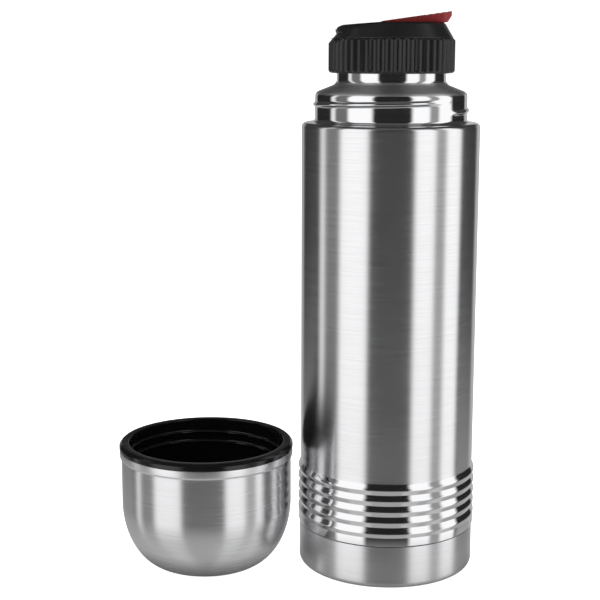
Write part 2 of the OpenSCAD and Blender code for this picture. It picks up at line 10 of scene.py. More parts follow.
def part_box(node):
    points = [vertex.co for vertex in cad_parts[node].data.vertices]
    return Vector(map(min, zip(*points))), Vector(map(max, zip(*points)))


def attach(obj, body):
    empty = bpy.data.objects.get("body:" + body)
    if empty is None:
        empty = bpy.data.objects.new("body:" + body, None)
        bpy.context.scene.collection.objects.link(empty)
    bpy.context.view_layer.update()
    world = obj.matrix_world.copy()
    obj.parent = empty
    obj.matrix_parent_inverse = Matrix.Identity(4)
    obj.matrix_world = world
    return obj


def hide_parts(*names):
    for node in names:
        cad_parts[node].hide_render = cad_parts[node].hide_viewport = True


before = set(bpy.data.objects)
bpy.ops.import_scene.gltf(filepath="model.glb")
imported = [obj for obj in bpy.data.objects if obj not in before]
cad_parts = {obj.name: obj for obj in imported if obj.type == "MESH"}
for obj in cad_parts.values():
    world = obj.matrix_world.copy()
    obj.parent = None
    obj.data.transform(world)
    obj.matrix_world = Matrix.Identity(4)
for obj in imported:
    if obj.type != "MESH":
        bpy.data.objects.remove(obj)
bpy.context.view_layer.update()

MM = 0.001
TAU = math.tau

# ---- sizes, from the frame ----


def box_mm(node):
    """Lowest and highest corner of a CAD node, in millimetres."""
    low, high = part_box(node)
    return low / MM, high / MM


shell_high = box_mm("outer_shell")[1]
cap_high = box_mm("base_cap")[1]
ring_low, ring_high = box_mm("grip_ring")
deck_low = box_mm("spout_deck")[0]
lever_low, lever_high = box_mm("pour_lever")
pin_low, pin_high = box_mm("lever_pin")
stem_high = box_mm("valve_stem")[1]
cup_low, cup_high = box_mm("cup_shell")
liner_high = box_mm("cup_liner")[1]

# Body and beads
SHEET = 0.6
CAP_R = cap_high.x
CAP_TOP = cap_high.z
BODY_R = CAP_R - 0.45
BAND_R = BODY_R + 0.9
BEAD_R = BODY_R + 1.25
BEAD_VALLEY_R = BODY_R + 0.18
BEAD_PITCH = 5.1
BEAD_N = 5
FIRST_BEAD = CAP_TOP + 6.7
SKIRT_R = CAP_R - 0.8
SKIRT_FOOT = CAP_TOP - 12
SEAM = 0.45
BODY_TOP = 210.4
COLLAR_R = BODY_R - 6.1
COLLAR_TOP = BODY_TOP + 12.2
NECK_R = 25
NECK_FOOT = COLLAR_TOP + 5.5
NECK_TOP = shell_high.z

# Thread bead on the collar
THREAD_PITCH = 4.9
THREAD_OUT = 0.95
THREAD_HALF = 1.55
THREAD_FROM = -50
THREAD_TURN = 367
THREAD_Z = BODY_TOP + 5.2

# Stopper
RING_R = ring_high.x
RIB_R = RING_R - 0.2
RIB_N = 45
RIB_DEPTH = 1.1
RING_TOP = ring_high.z
RING_FOOT = ring_low.z + 0.6
RING_BORE = 25.6
RING_SEAT = RING_TOP - 5.4
RING_SEAT_T = 3
TUBE_R = 22.1
PIN_X = (pin_low.x + pin_high.x) / 2
PIN_Z = (pin_low.z + pin_high.z) / 2
PIN_R = 1.25
PIN_PLAY = 0.05
DECK_TOP = PIN_Z + 3.1
DECK_R = RING_R - 4.7
DECK_FLOOR_T = 2.2
DECK_FLANK_TOP = RING_TOP + 4.5
DECK_SLOPE = 0.068
DECK_SLOPE_FROM = 6.1
STEM_HOLE_R = 2.1
LIP_R = DECK_R + 1.4
LIP_NOSE_Z = 3.8
LIP_HOLLOW_R = DECK_R + 0.8
LIP_HOLLOW_Z = 2.1
LIP_FLANK = 0.85
LIP_HALF = math.radians(38)

# Lever, with its grip notches, and the pocket it swings in
LEVER_W = lever_high.y - lever_low.y
LEVER_GAP = 0.15
LEVER_EDGE = 0.5
LEVER_SLOPE = math.tan(math.radians(8))
LEVER_REAR = lever_low.x
LEVER_TIP = lever_high.x - 1.5
NOTCH_R = 0.62
NOTCH_N = 4
NOTCH_PITCH = 3
LAST_NOTCH = LEVER_TIP - 2.1
TIP_BEVEL = 1.9
TIP_BEVEL_SLOPE = 1.5
TIP_CORNER = 4.6
POCKET_PLAY = 0.45
POCKET_SIDE = 0.4
EAR_W = 4
EAR_IN = 0.2
HUB_R = 2.6
CAM_R = 2
CAM_W = 7
CAM_GAP = 0.35

# Cup
CUP_X = (cup_low.x + cup_high.x) / 2
CUP_Y = (cup_low.y + cup_high.y) / 2
CUP_BAND_R = (cup_high.x - cup_low.x) / 2
CUP_R = CUP_BAND_R - 0.8
CUP_H = liner_high.z
RIM_Z = cup_high.z
BAND_Z = RIM_Z - 3.9
CUP_BORE = 36.7
CUP_DOME = 31.4
CUP_FOOT = 19.8
CUP_SHEET = 0.5
LINER_WALL = 1.6
LINER_FOOT = 3
LINER_FLOOR = LINER_FOOT + LINER_WALL
LINER_THREAD_TURNS = 1.6
LINER_THREAD_OUT = 0.8
LINER_THREAD_HALF = 0.9

CAMERA_AT = Vector((-40.45, -626.2, 244.2)) * MM
CAMERA_PITCH = 10.58
CAMERA_YAW = 0.10
CAMERA_ROLL = 0.12
CAMERA_BEARING = math.degrees(math.atan2(CAMERA_AT.x, -CAMERA_AT.y))

# ---- outlines ----


def corner(a, b, c, radius, n):
    """The corner b of a-b-c as an arc of n chords."""
    a, b, c = Vector(a), Vector(b), Vector(c)
    u, v = (a - b).normalized(), (c - b).normalized()
    half = u.angle(v) / 2
    centre = b + (u + v).normalized() * radius / math.sin(half)
    start = b + u * radius / math.tan(half) - centre
    end = b + v * radius / math.tan(half) - centre
    turn = math.atan2(start.x * end.y - start.y * end.x, start.dot(end))
    return [centre + Matrix.Rotation(turn * i / n, 2) @ start for i in range(n + 1)]


def outline(corners, n=8):
    """A path through corners (r, z) or (r, z, rounding)."""
    path = []
    for i, k in enumerate(corners):
        radius = k[2] if len(k) > 2 else 0
        if radius and 0 < i < len(corners) - 1:
            path += corner(corners[i - 1][:2], k[:2], corners[i + 1][:2], radius, n)
        else:
            path.append(Vector(k[:2]))
    return path


def divided(path, step):
    """The path with its long stretches cut into steps."""
    out = [path[0]]
    for a, b in zip(path, path[1:]):
        n = max(1, math.ceil((b - a).length / step))
        out += [a.lerp(b, i / n) for i in range(1, n + 1)]
    return out


def smooth(low, high, x):
    """0 below low, 1 above high and an even curve between them."""
    t = min(1, max(0, (x - low) / (high - low)))
    return t * t * (3 - 2 * t)


# ---- meshes ----


def piece(name, mesh_bm, sharp=35):
    """A new object from a bmesh, shaded smooth up to the given angle."""
    bmesh.ops.recalc_face_normals(mesh_bm, faces=mesh_bm.faces)
    mesh = bpy.data.meshes.new(name)
    mesh_bm.to_mesh(mesh)
    mesh_bm.free()
    obj = bpy.data.objects.new(name, mesh)
    bpy.context.scene.collection.objects.link(obj)
    shade(obj, sharp)
    return obj


def shade(obj, sharp=35):
    """Smooth shading, with edges over the angle kept sharp."""
    obj.data.shade_smooth()
    obj.data.set_sharp_from_angle(angle=math.radians(sharp))


def lathe(path, n=192, centre=(0, 0), shape=None):
    """A bmesh turned from a path. It closes on itself unless both its ends lie on the axis."""
    bm = bmesh.new()
    rings = []
    for p in path:
        if p[0] < 1e-6:
            rings.append([bm.verts.new((centre[0] * MM, centre[1] * MM, p[1] * MM))])
            continue
        ring = []
        for i in range(n):
            a = TAU * i / n
            r, z = shape(p[0], p[1], a) if shape else p
            ring.append(bm.verts.new(((centre[0] + r * math.cos(a)) * MM,
                                      (centre[1] + r * math.sin(a)) * MM, z * MM)))
        rings.append(ring)
    closed = len(rings[0]) > 1
    pairs = list(zip(rings, rings[1:])) + ([(rings[-1], rings[0])] if closed else [])
    for a, b in pairs:
        for i in range(n):
            j = (i + 1) % n
            corners = [a[i % len(a)], a[j % len(a)], b[j % len(b)], b[i % len(b)]]
            seen = list(dict.fromkeys(corners))
            if len(seen) > 2:
                bm.faces.new(seen)
    return bm


def prism(points, low, high, along="y"):
    """A bmesh extruded from a flat outline: (x, z) along y, or (x, y) along z."""
    bm = bmesh.new()
    ends = []
    for t in (low, high):
        ends.append([bm.verts.new(Vector((p[0], t, p[1]) if along == "y" else (p[0], p[1], t)) * MM)
                     for p in points])
    bm.faces.new(ends[0])
    bm.faces.new(ends[1][::-1])
    for i in range(len(points)):
        j = (i + 1) % len(points)
        bm.faces.new([ends[0][j], ends[0][i], ends[1][i], ends[1][j]])
    return bm


def circle(radius, x, y, n):
    """A circle of n points round a centre."""
    return [(x + radius * math.cos(TAU * i / n), y + radius * math.sin(TAU * i / n)) for i in range(n)]


def round_bar(radius, x, z, low, high, n=48):
    """A bmesh of a round bar along y, from low to high."""
    return prism(circle(radius, x, z, n), low, high)


def cut(obj, tool_bm, operation="DIFFERENCE"):
    """Applies a boolean with a tool given as a bmesh."""
    tool = piece(obj.name + "_tool", tool_bm)
    mod = obj.modifiers.new("cut", "BOOLEAN")
    mod.object = tool
    mod.operation = operation
    mod.solver = "EXACT"
    apply_modifiers(obj)
    bpy.data.objects.remove(tool)


def apply_modifiers(obj):
    """Turns the object's modifiers into its mesh."""
    graph = bpy.context.evaluated_depsgraph_get()
    mesh = bpy.data.meshes.new_from_object(obj.evaluated_get(graph))
    obj.modifiers.clear()
    obj.data = mesh


def bevel(obj, width, segments=2, angle=30):
    """Rounds the edges over the angle."""
    mod = obj.modifiers.new("bevel", "BEVEL")
    mod.width = width * MM
    mod.segments = segments
    mod.limit_method = "ANGLE"
    mod.angle_limit = math.radians(angle)
    mod.use_clamp_overlap = True
    apply_modifiers(obj)
    shade(obj)


# ---- materials ----


class Nodes:
    """Short names for building a node tree."""

    def __init__(self, tree):
        self.tree = tree

    def add(self, kind, inputs=(), **settings):
        """A node with its settings, and inputs as {socket: value or output}."""
        node = self.tree.nodes.new("ShaderNode" + kind)
        for key, value in settings.items():
            setattr(node, key, value)
        for key, value in dict(inputs).items():
            self.put(value, node.inputs[key])
        return node

    def put(self, value, socket):
        """Links an output to a socket, or sets the socket's value."""
        if isinstance(value, bpy.types.NodeSocket):
            self.tree.links.new(value, socket)
        else:
            socket.default_value = value

    def math(self, operation, a, b=0.0, c=0.0):
        """The result of a math node."""
        return self.add("Math", {0: a, 1: b, 2: c}, operation=operation).outputs[0]

    def place(self, centre=(0, 0)):
        """The surface's x, y and z in metres, from an axis."""
        xyz = self.add("SeparateXYZ", {0: self.add("TexCoord").outputs["Object"]}).outputs
        return (self.math("SUBTRACT", xyz[0], centre[0] * MM),
                self.math("SUBTRACT", xyz[1], centre[1] * MM), xyz[2])

    def noise(self, vector, scale, detail=3.0, roughness=0.5):
        """A noise value round 0.5."""
        return self.add("TexNoise", {"Vector": vector, "Scale": scale, "Detail": detail,
                                     "Roughness": roughness}).outputs["Fac"]

    def spread(self, value, low, high, from_low=0.3, from_high=0.7):
        """A value moved to a range."""
        return self.add("MapRange", {0: value, 1: from_low, 2: from_high, 3: low, 4: high}).outputs[0]

    def step(self, value, start, end):
        """0 at start and 1 at end, with an even curve between them."""
        return self.add("MapRange", {0: value, 1: start, 2: end, 3: 0.0, 4: 1.0},
                        interpolation_type="SMOOTHSTEP").outputs[0]

    def between(self, fac, a, b):
        """A value between two values."""
        mix = self.add("Mix", {"Factor": fac}, data_type="FLOAT")
        self.put(a, mix.inputs[2])
        self.put(b, mix.inputs[3])
        return mix.outputs[0]

    def blend(self, fac, a, b):
        """A colour between two colours."""
        mix = self.add("Mix", {"Factor": fac}, data_type="RGBA")
        self.put(a, mix.inputs[6])
        self.put(b, mix.inputs[7])
        return mix.outputs[2]


class Finish(Nodes):
    """A material, with its principled shader's constants by name."""

    def __init__(self, name, **constants):
        self.material = bpy.data.materials.new(name)
        self.material.use_nodes = True
        super().__init__(self.material.node_tree)
        self.shader = self.tree.nodes["Principled BSDF"]
        for key, value in constants.items():
            self.shader.inputs[key.replace("_", " ")].default_value = value

    def bump(self, height, distance, strength=1.0):
        """Sets the shader's bump from a height, with its depth in millimetres."""
        node = self.add("Bump", {"Height": height, "Distance": distance * MM, "Strength": strength})
        self.put(node.outputs[0], self.shader.inputs["Normal"])

    def set(self, socket, value):
        """Links or sets one of the shader's inputs."""
        self.put(value, self.shader.inputs[socket])


def grain(n, centre, lean, length, width):
    """Noise drawn out round the axis: streaks of a length and a width in millimetres."""
    x, y, z = n.place(centre)
    r = n.math("SQRT", n.math("ADD", n.math("MULTIPLY", x, x), n.math("MULTIPLY", y, y)))
    across = n.math("ADD", z, n.math("MULTIPLY", r, lean))
    vector = n.add("CombineXYZ", {0: n.math("DIVIDE", x, length * MM),
                                  1: n.math("DIVIDE", y, length * MM),
                                  2: n.math("DIVIDE", across, width * MM)}).outputs[0]
    return n.noise(vector, 1.0, 2.0)


def brushed(name, centre=(0, 0), lean=-1.0, roughness=0.235, colour=(0.79, 0.79, 0.8)):
    """Steel brushed round its axis: fine streaks, short deeper lines, and faint handling marks."""
    n = Finish(name, Metallic=1.0, Anisotropic=0.8, Anisotropic_Rotation=0.25)
    fine = grain(n, centre, lean, 20, 0.26)
    lines = grain(n, centre, lean, 36, 0.6)
    marks = n.noise(n.add("TexCoord").outputs["Object"], 30.0, 3.0)
    streaks = n.math("ADD", n.math("MULTIPLY", fine, 0.6), n.math("MULTIPLY", lines, 0.4))
    n.set("Base Color", n.blend(n.spread(streaks, 0, 1), (*[c * 0.91 for c in colour], 1),
                                (*[min(1, c * 1.06) for c in colour], 1)))
    rough = n.math("ADD", n.spread(streaks, -0.03, 0.03), n.spread(marks, -0.01, 0.012))
    n.set("Roughness", n.math("ADD", rough, roughness))
    n.set("Tangent", n.add("Tangent", direction_type="RADIAL", axis="Z").outputs[0])
    n.bump(streaks, 0.0012, 0.5)
    return n.material


def polished(name, roughness=0.07, centre=(0, 0), lean=-1.0, colour=(0.8, 0.8, 0.81)):
    """Rolled steel left bright, with faint turning lines and small scuffs."""
    n = Finish(name, Metallic=1.0, Base_Color=(*colour, 1))
    lines = grain(n, centre, lean, 60, 0.3)
    scuffs = n.noise(n.add("TexCoord").outputs["Object"], 260.0, 5.0, 0.65)
    n.set("Roughness", n.math("ADD", n.spread(lines, roughness - 0.02, roughness + 0.03),
                              n.spread(scuffs, 0.0, 0.05, 0.55, 0.75)))
    n.bump(lines, 0.001, 0.4)
    return n.material


def moulded(name, colour, roughness, texture=0.004, texture_size=0.35, worn_and_lit=1.25, **constants):
    """Moulded plastic: an eroded texture, sheen that varies, and sharp edges a little lighter, partly
    rubbed wear and partly a painted highlight.
    """
    n = Finish(name, **constants)
    at = n.add("TexCoord").outputs["Object"]
    pits = n.noise(at, 1000 / texture_size, 2.0)
    clouds = n.noise(at, 90.0, 4.0)
    # Lighter colour on sharp convex edges and crests: partly wear, partly a painted highlight.
    rub_and_highlight = n.spread(n.add("NewGeometry").outputs["Pointiness"], 0.0, 1.0, 0.5, 0.56)
    light = (*[min(1, c * worn_and_lit + 0.004) for c in colour], 1)
    n.set("Base Color", n.blend(n.math("MULTIPLY", rub_and_highlight, n.spread(clouds, 0.3, 1.0)),
                                (*colour, 1), light))
    n.set("Roughness", n.math("ADD", n.spread(clouds, -0.05, 0.06), roughness))
    n.bump(pits, texture, 0.7)
    return n.material


def speckled(name, colour, metallic, roughness, size, depth):
    """Foil, sintered metal or fused glass: an uneven surface of crumples or grains."""
    n = Finish(name, Metallic=metallic)
    at = n.add("TexCoord").outputs["Object"]
    grains = n.add("TexVoronoi", {"Vector": at, "Scale": 1000 / size}).outputs["Distance"]
    clouds = n.noise(at, 300 / size, 4.0)
    n.set("Base Color", n.blend(clouds, (*[c * 0.8 for c in colour], 1), (*colour, 1)))
    n.set("Roughness", n.spread(clouds, roughness - 0.08, roughness + 0.1))
    n.bump(grains, depth)
    return n.material


STEEL_BODY = brushed("steel_body")
STEEL_CAP = brushed("steel_cap", lean=1.0, roughness=0.31)
STEEL_CUP = brushed("steel_cup", centre=(CUP_X, CUP_Y), lean=1.0, roughness=0.25)
STEEL_BRIGHT = polished("steel_bright", 0.075)
# Near-black steel on the skirt inside the seam's groove: painted shade of the gap under the cap's edge.
STEEL_SEAM_SHADE = polished("steel_seam_shade", 0.5, colour=(0.05, 0.05, 0.05))
STEEL_CUP_BAND = polished("steel_cup_band", 0.29, (CUP_X, CUP_Y))
STEEL_CONE = brushed("steel_cone", roughness=0.4)
STEEL_SATIN = brushed("steel_satin", roughness=0.38, colour=(0.7, 0.7, 0.7))
STEEL_DRAWN = polished("steel_drawn", 0.22)
BLACK = moulded("black_stopper", (0.0065, 0.0065, 0.007), 0.32)
BLACK_GLOSS = moulded("black_liner", (0.0035, 0.0035, 0.0038), 0.1, 0.0006, 6.0, 1.0)
BLACK_RIM = moulded("black_rim", (0.0025, 0.0025, 0.0028), 0.16, 0.001, 3.0)
RED = moulded("red_lever", (0.175, 0.004, 0.005), 0.34, 0.003, 0.4, 1.1)
WHITE = moulded("white_plastic", (0.74, 0.74, 0.7), 0.45)
SILICONE = moulded("silicone", (0.66, 0.66, 0.63), 0.5, Subsurface_Weight=0.3, Subsurface_Scale=0.001)
COPPER = speckled("copper_foil", (0.86, 0.45, 0.3), 1.0, 0.24, 4.0, 0.15)
SINTER = speckled("getter_metal", (0.3, 0.3, 0.31), 1.0, 0.6, 0.3, 0.05)
GLASS_BEAD = speckled("seal_glass", (0.09, 0.07, 0.05), 0.0, 0.15, 1.2, 0.05)


def dress(obj, body, slot, *materials, replaces=()):
    """Gives a piece its body and its materials, and hides the CAD nodes it stands for. The slot is not
    used.
    """
    for m in materials:
        obj.data.materials.append(m)
    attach(obj, body)
    if replaces:
        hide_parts(*replaces)
    return obj


def paint_by_height(obj, bands):
    """Sets each face's material from (highest z in mm, material index) pairs."""
    for face in obj.data.polygons:
        z = face.center.z / MM
        face.material_index = next(i for top, i in bands if z <= top)


# ---- flask ----


def shell_path():
    """The shell's outer face from its skirt to the mouth."""
    half = BEAD_PITCH / 2
    beads = []
    for i in range(BEAD_N):
        z = FIRST_BEAD + i * BEAD_PITCH
        beads.append((BEAD_R, z, 2.2))
        if i < BEAD_N - 1:
            beads.append((BEAD_VALLEY_R, z + half, 0.7))
    last = FIRST_BEAD + (BEAD_N - 1) * BEAD_PITCH
    low = outline([(SKIRT_R, SKIRT_FOOT), (SKIRT_R, CAP_TOP + SEAM, 0.1),
                   (BAND_R, CAP_TOP + SEAM + 0.1, 0.2), (BAND_R - 0.05, FIRST_BEAD - half + 0.4, 1.2),
                   *beads, (BODY_R, last + half + 0.1, 1.6), (BODY_R, last + half + 4)], 8)
    top = outline([(BODY_R, BODY_TOP - 4), (BODY_R, BODY_TOP + 0.1, 2.1), (COLLAR_R, BODY_TOP + 0.5, 1.9),
                   (COLLAR_R, COLLAR_TOP + 1.6, 2.8), (NECK_R, NECK_FOOT, 3.2), (NECK_R, NECK_TOP)], 12)
    return low + divided(top, 0.4)


def thread_bead(r, z, angle):
    """The wall pushed out where the rolled thread crosses it."""
    if abs(r - COLLAR_R) > 0.2:
        return r, z
    turn = (math.degrees(angle) - THREAD_FROM) % 360
    out = 0
    for lap in (turn, turn + 360):
        height = smooth(0, 24, lap) * (1 - smooth(THREAD_TURN - 30, THREAD_TURN, lap))
        away = abs(z - THREAD_Z - THREAD_PITCH * lap / 360) / THREAD_HALF
        if away < 1:
            out = max(out, height * THREAD_OUT * (math.cos(math.pi * away) + 1) / 2)
    return r + out, z


def make_shell():
    """The flask's skin: brushed body, bright beads, collar and neck, a satin cone, and painted shade in
    the groove at the cap's seam.
    """
    outer = shell_path()
    inner = [Vector((NECK_R - SHEET, NECK_TOP)), Vector((NECK_R - SHEET, NECK_FOOT)),
             Vector((COLLAR_R - SHEET, COLLAR_TOP - 1)), Vector((COLLAR_R - SHEET, BODY_TOP)),
             Vector((BODY_R - SHEET, BODY_TOP - 2)), Vector((SKIRT_R - SHEET, SKIRT_FOOT))]
    obj = piece("flask_shell", lathe(outer + inner, 360, shape=thread_bead), 50)
    dress(obj, "flask", "brushed_steel", STEEL_BODY, STEEL_BRIGHT, STEEL_SEAM_SHADE, STEEL_CONE,
          replaces=["outer_shell"])
    bead_top = FIRST_BEAD + (BEAD_N - 0.5) * BEAD_PITCH
    # Faces up to the cap's top take index 2, the seam's painted shade; above it come the bright beads,
    # brushed body, bright collar, satin cone and bright neck.
    paint_by_height(obj, [(CAP_TOP + SEAM, 2), (bead_top, 1), (BODY_TOP - 0.9, 0), (COLLAR_TOP + 0.7, 1),
                          (NECK_FOOT + 0.6, 3), (NECK_TOP + 1, 1)])
    return obj


def make_cap():
    """The steel cap over the flask's bottom, with a shallow groove round its underside."""
    low, groove = CAP_R - 13.5, CAP_R - 9.5
    outer = outline([(0, 0), (low, 0, 0.7), (low + 0.8, 0.8, 0.7), (groove - 0.8, 0.8, 0.7),
                     (groove, 0, 0.7), (CAP_R, 0, 3), (CAP_R, CAP_TOP, 0.15), (SKIRT_R, CAP_TOP)], 10)
    inner = outline([(SKIRT_R, CAP_TOP), (SKIRT_R, 0.5, 2.5), (0, 1.2)], 6)
    obj = piece("flask_base_cap", lathe(outer + inner[1:], 256), 40)
    return dress(obj, "flask", "brushed_steel", STEEL_CAP, replaces=["base_cap"])


# ---- stopper ----


def ring_shape(r, z, angle):
    """The ring's outer wall with its ribs, which run out on its rounded foot, and cut back by the lip."""
    if r < RING_BORE + 2.2:
        return r, z
    wave = (1 - math.cos(RIB_N * angle)) / 2
    groove = RIB_DEPTH * (1 - wave ** 0.5)
    r = min(r, RIB_R - groove * smooth(RING_FOOT + 0.1, RING_FOOT + 1.5, z))
    return r + lip_share(angle) * min(0, lip_radius(min(z, RING_TOP)) - r), z


def make_ring():
    """The stopper's ribbed grip ring."""
    outer = outline([(RING_BORE, RING_FOOT + 0.6), (RING_BORE + 0.5, RING_FOOT), (RIB_R, RING_FOOT, 1.5),
                     (RIB_R, RING_TOP - 0.8, 0.6), (RING_R - 1.2, RING_TOP)], 6)
    outer = divided(outer, 0.6)
    under = RING_SEAT - RING_SEAT_T
    inner = [Vector(p) for p in ((NECK_R, RING_TOP), (NECK_R, RING_SEAT), (TUBE_R, RING_SEAT),
                                 (TUBE_R, under), (RING_BORE, under))]
    obj = piece("stopper_grip_ring", lathe(outer + inner, RIB_N * 14, shape=ring_shape), 60)
    return dress(obj, "stopper", "black_plastic", BLACK, replaces=["grip_ring"])


def lip_radius(z):
    """The pouring lip's outline: a flank, the hollow under the lip, its nose and its rounded top."""
    up = z - RING_TOP
    if up < LIP_HOLLOW_Z:
        return LIP_HOLLOW_R + (LIP_HOLLOW_Z - up) * LIP_FLANK
    if up < LIP_NOSE_Z:
        under = (LIP_NOSE_Z - up) / (LIP_NOSE_Z - LIP_HOLLOW_Z)
        return LIP_HOLLOW_R + (LIP_R - LIP_HOLLOW_R) * math.sqrt(1 - under * under)
    over = (up - LIP_NOSE_Z) / (DECK_TOP - RING_TOP - LIP_NOSE_Z)
    return LIP_R - (LIP_R - DECK_R + 1) * over ** 3


def lip_share(angle):
    """1 in the middle of the pouring side, falling to 0 at the lip's ends."""
    return 1 - smooth(LIP_HALF - 0.35, LIP_HALF + 0.1, abs(math.remainder(angle - math.pi, TAU)))


def deck_shape(r, z, angle):
    """The deck's flank drawn into the lip on the pouring side, and its top sloped towards it."""
    if z > RING_TOP - 0.01 and r > DECK_R - 1.2:
        r += lip_share(angle) * (lip_radius(z) - r)
    if z > DECK_FLANK_TOP:
        drop = max(0, -DECK_SLOPE_FROM - r * math.cos(angle)) * DECK_SLOPE
        z -= drop * (z - DECK_FLANK_TOP) / (DECK_TOP - DECK_FLANK_TOP)
    return r, z


def flared(x0, x1, half_w, z0, z1, chamfer):
    """A cutter with a rectangular plan that widens at its top into a chamfer."""
    bm = bmesh.new()
    rings = []
    for z, grow in ((z0, 0), (z1 - chamfer, 0), (z1 + 1, chamfer + 1)):
        rings.append([bm.verts.new(Vector(p) * MM) for p in
                      ((x0 - grow, -half_w - grow, z), (x1 + grow, -half_w - grow, z),
                       (x1 + grow, half_w + grow, z), (x0 - grow, half_w + grow, z))])
    bm.faces.new(rings[0][::-1])
    bm.faces.new(rings[-1])
    for a, b in zip(rings, rings[1:]):
        for i in range(4):
            j = (i + 1) % 4
            bm.faces.new([a[i], a[j], b[j], b[i]])
    return bm


def make_deck():
    """The stopper's top, with the lever's pocket, the pour channel, and holes for the pin and stem."""
    foot, socket = deck_low.z, NECK_R - 0.1
    floor = foot + DECK_FLOOR_T
    outer = outline([(socket, foot), (socket, RING_TOP), (RING_R - 1.15, RING_TOP),
                     (RING_R - 1.1, RING_TOP + 0.25), (DECK_R, DECK_TOP - 0.7, 0.4),
                     (DECK_R - 0.9, DECK_TOP, 0.6)], 6)
    top = [Vector((DECK_R - 0.9 - 1.05 * i, DECK_TOP)) for i in range(1, 22)] + [Vector((0, DECK_TOP))]
    inner = [Vector((0, floor)), Vector((TUBE_R, floor)), Vector((TUBE_R, foot))]
    bm = lathe(inner + divided(outer, 0.35) + top, 224, shape=deck_shape)
    obj = piece("stopper_deck", bm)
    rear = lever_rear_sweep()
    pin_end = pin_high.y + PIN_PLAY
    cut(obj, flared(-rear, PIN_X + 5.1, LEVER_W / 2 + POCKET_SIDE, floor + 1.8, DECK_TOP, 0.35))
    cut(obj, flared(-18.2, -rear - 2.1, 6, foot - 1, DECK_TOP + 0.1, 0.1))
    cut(obj, flared(-40, -rear - 1.9, 6.2, RING_TOP + 4, DECK_TOP, 0.4))
    cut(obj, round_bar(PIN_R, PIN_X, PIN_Z, -pin_end, pin_end))
    cut(obj, prism(circle(STEM_HOLE_R, 0, 0, 32), foot, DECK_TOP, "z"))
    shade(obj, 28)
    return dress(obj, "stopper", "black_plastic", BLACK, replaces=["spout_deck"])


def lever_rear_sweep():
    """How far behind the axis the pocket reaches, to clear the lever's rear end as it swings."""
    high = DECK_TOP + LEVER_GAP + LEVER_EDGE
    return math.hypot(LEVER_REAR - PIN_X, high - PIN_Z) - PIN_X + POCKET_PLAY


def add_lobe(obj, radius, x, z, start, end):
    """Joins a round lobe, and the web that carries it, to the lever's underside."""
    web = DECK_TOP + LEVER_GAP + 0.3
    cut(obj, round_bar(radius, x, z, start, end), "UNION")
    cut(obj, prism([(x - radius, z), (x + radius, z), (x + radius, web), (x - radius, web)],
                   start, end), "UNION")


def lever_section(x):
    """The lever's half width, underside and top at x: a wedge with round notches and a bevelled tip."""
    low = DECK_TOP + LEVER_GAP
    top = low + LEVER_EDGE + (x - LEVER_REAR) * LEVER_SLOPE
    away = min(abs(x - LAST_NOTCH + i * NOTCH_PITCH) for i in range(NOTCH_N))
    if away < NOTCH_R:
        top -= math.sqrt(NOTCH_R ** 2 - away ** 2)
    bottom = low + max(0, x - LEVER_TIP + TIP_BEVEL) * TIP_BEVEL_SLOPE
    over = max(0, x - LEVER_TIP + TIP_CORNER) * 0.8
    half = LEVER_W / 2 - TIP_CORNER + math.sqrt(max(0.01, TIP_CORNER ** 2 - over ** 2))
    return half, bottom, top


def make_lever():
    """The red lever, with two ears on its pin and the cam that pushes the stem."""
    stations = [LEVER_REAR + i * 2 for i in range(10)]
    for i in range(NOTCH_N):
        notch = LAST_NOTCH - i * NOTCH_PITCH
        stations += [notch - NOTCH_R * math.cos(k * math.pi / 6) for k in range(7)]
    stations += [LEVER_TIP - TIP_BEVEL, LEVER_TIP - 1.0, LEVER_TIP]
    stations = sorted(set(round(x, 3) for x in stations if x < LEVER_TIP + 0.01))
    bm = bmesh.new()
    rows = []
    for x in stations:
        w, b, t = lever_section(x)
        rows.append([bm.verts.new(Vector(p) * MM) for p in
                     ((x, -w, b), (x, -w, t), (x, 0, t), (x, w, t), (x, w, b), (x, 0, b))])
    bm.faces.new(rows[0])
    bm.faces.new(rows[-1][::-1])
    for a, b in zip(rows, rows[1:]):
        for i in range(6):
            j = (i + 1) % 6
            bm.faces.new([a[j], a[i], b[i], b[j]])
    obj = piece("stopper_lever", bm)
    bevel(obj, 0.3, 3, 24)
    half = LEVER_W / 2
    for side in (-1, 1):
        ear = sorted((side * (half - EAR_IN - EAR_W), side * (half - EAR_IN)))
        add_lobe(obj, HUB_R, PIN_X, PIN_Z, *ear)
    add_lobe(obj, CAM_R, 0, stem_high.z + CAM_GAP + CAM_R, -CAM_W / 2, CAM_W / 2)
    cut(obj, round_bar(PIN_R + PIN_PLAY, PIN_X, PIN_Z, -half - 5, half + 5))
    shade(obj, 30)
    return dress(obj, "lever", "red_plastic", RED, replaces=["pour_lever"])


# ---- cup ----


def dome(margin, z, n=28):
    """The rounded lower part of the cup, drawn in by a margin."""
    foot = CUP_FOOT - margin / 2
    out = []
    for i in range(n + 1):
        a = math.pi / 2 * (1 - i / n)
        out.append(Vector((foot + (CUP_R - margin - foot) * math.cos(a),
                           z + (CUP_DOME - z) * (1 - math.sin(a)))))
    return out


def make_cup_shell():
    """The cup's steel skin, with the rolled band under its rim."""
    band = outline([(CUP_R, BAND_Z - 5), (CUP_R, BAND_Z - 0.1, 0.5), (CUP_BAND_R, BAND_Z + 0.5, 0.5),
                    (CUP_BAND_R, RIM_Z - 0.1, 0.15), (CUP_BAND_R - CUP_SHEET, RIM_Z)], 6)
    outer = [Vector((0, 0)), Vector((CUP_FOOT - 2, 0))] + dome(0, 0) + divided(band, 1.5)
    inner = [Vector((CUP_BAND_R - CUP_SHEET, BAND_Z + 0.7)), Vector((CUP_R - CUP_SHEET, BAND_Z))]
    inner += dome(CUP_SHEET, CUP_SHEET, 12)[::-1] + [Vector((0, CUP_SHEET))]
    obj = piece("cup_steel_shell", lathe(outer + inner, 256, (CUP_X, CUP_Y)), 40)
    dress(obj, "cup", "brushed_steel", STEEL_CUP, STEEL_CUP_BAND, replaces=["cup_shell"])
    paint_by_height(obj, [(BAND_Z - 0.2, 0), (RIM_Z + 1, 1)])
    return obj


